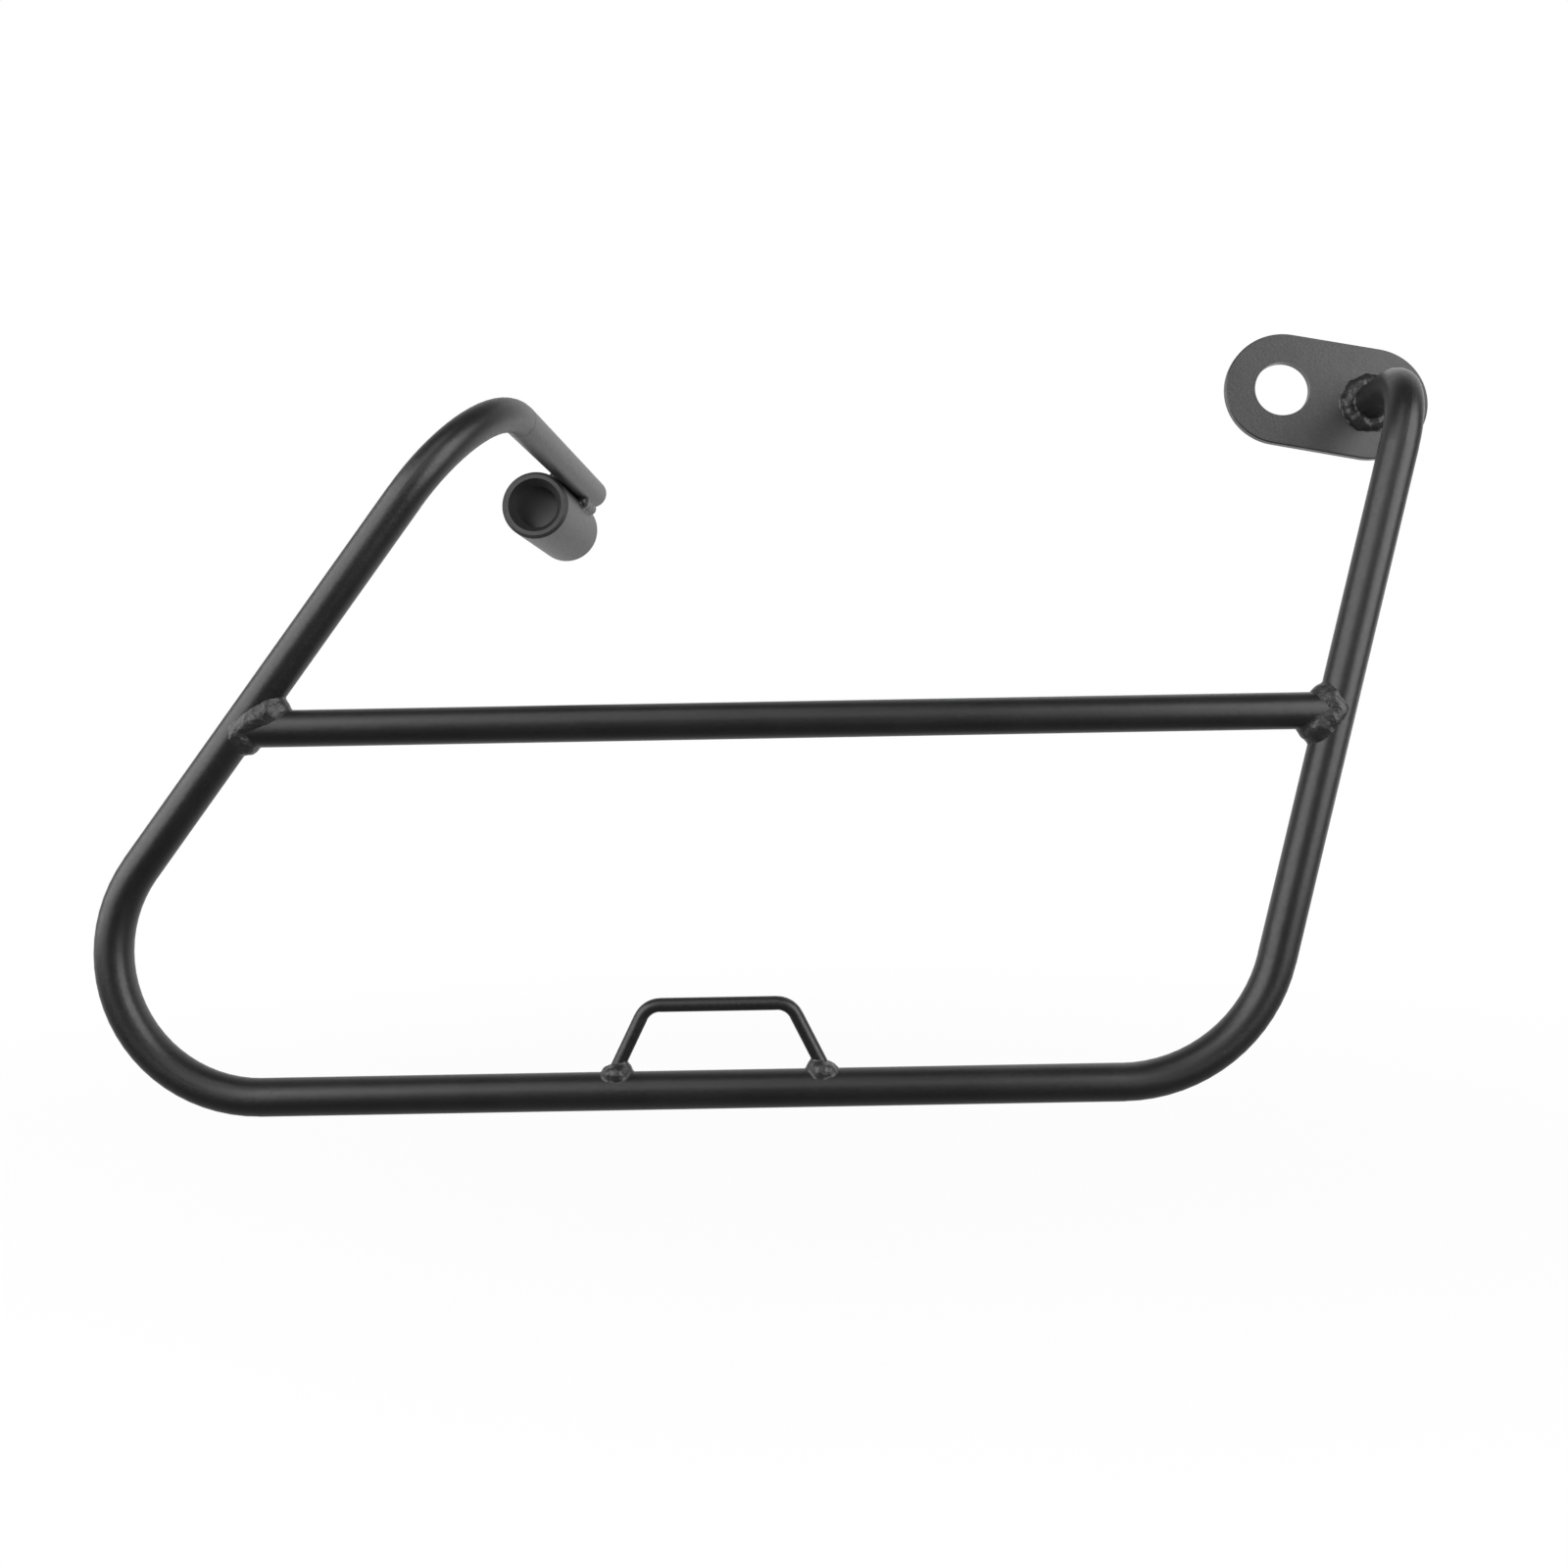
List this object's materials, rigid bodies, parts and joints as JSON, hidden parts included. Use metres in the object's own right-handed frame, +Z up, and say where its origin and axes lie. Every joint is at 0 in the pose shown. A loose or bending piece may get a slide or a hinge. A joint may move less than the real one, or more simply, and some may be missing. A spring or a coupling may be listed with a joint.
{
  "type": "pannier frame",
  "caption": "Side frame for a motorbike's soft pannier: bent tube hoop with crossbar, strap loop, spacer sleeve and mounting plate, welded into one unit.",
  "frame": {"origin": "centre of the spacer sleeve's inboard face, where it seats on the motorbike", "axes": "Seen from outside the bike: +X to the right along the bottom run and crossbar, +Z up, +Y inboard towards the bike and square to the plane of the hoop"},
  "size_m": [0.523, 0.2203, 0.2982],
  "materials": {
    "powder_coat": "satin black powder coat",
    "bead_coat": "satin black powder coat over rippled weld"
  },
  "bodies": {
    "root": {"main_hoop": "powder_coat", "crossbar": "powder_coat", "strap_loop": "powder_coat", "spacer_sleeve": "powder_coat", "mounting_plate": "powder_coat", "weld_crossbar_front": "bead_coat", "weld_crossbar_rear": "bead_coat", "weld_loop_front": "bead_coat", "weld_loop_rear": "bead_coat", "weld_sleeve_short": "bead_coat", "weld_sleeve_long": "bead_coat", "weld_plate": "bead_coat"}
  },
  "joints": []
}
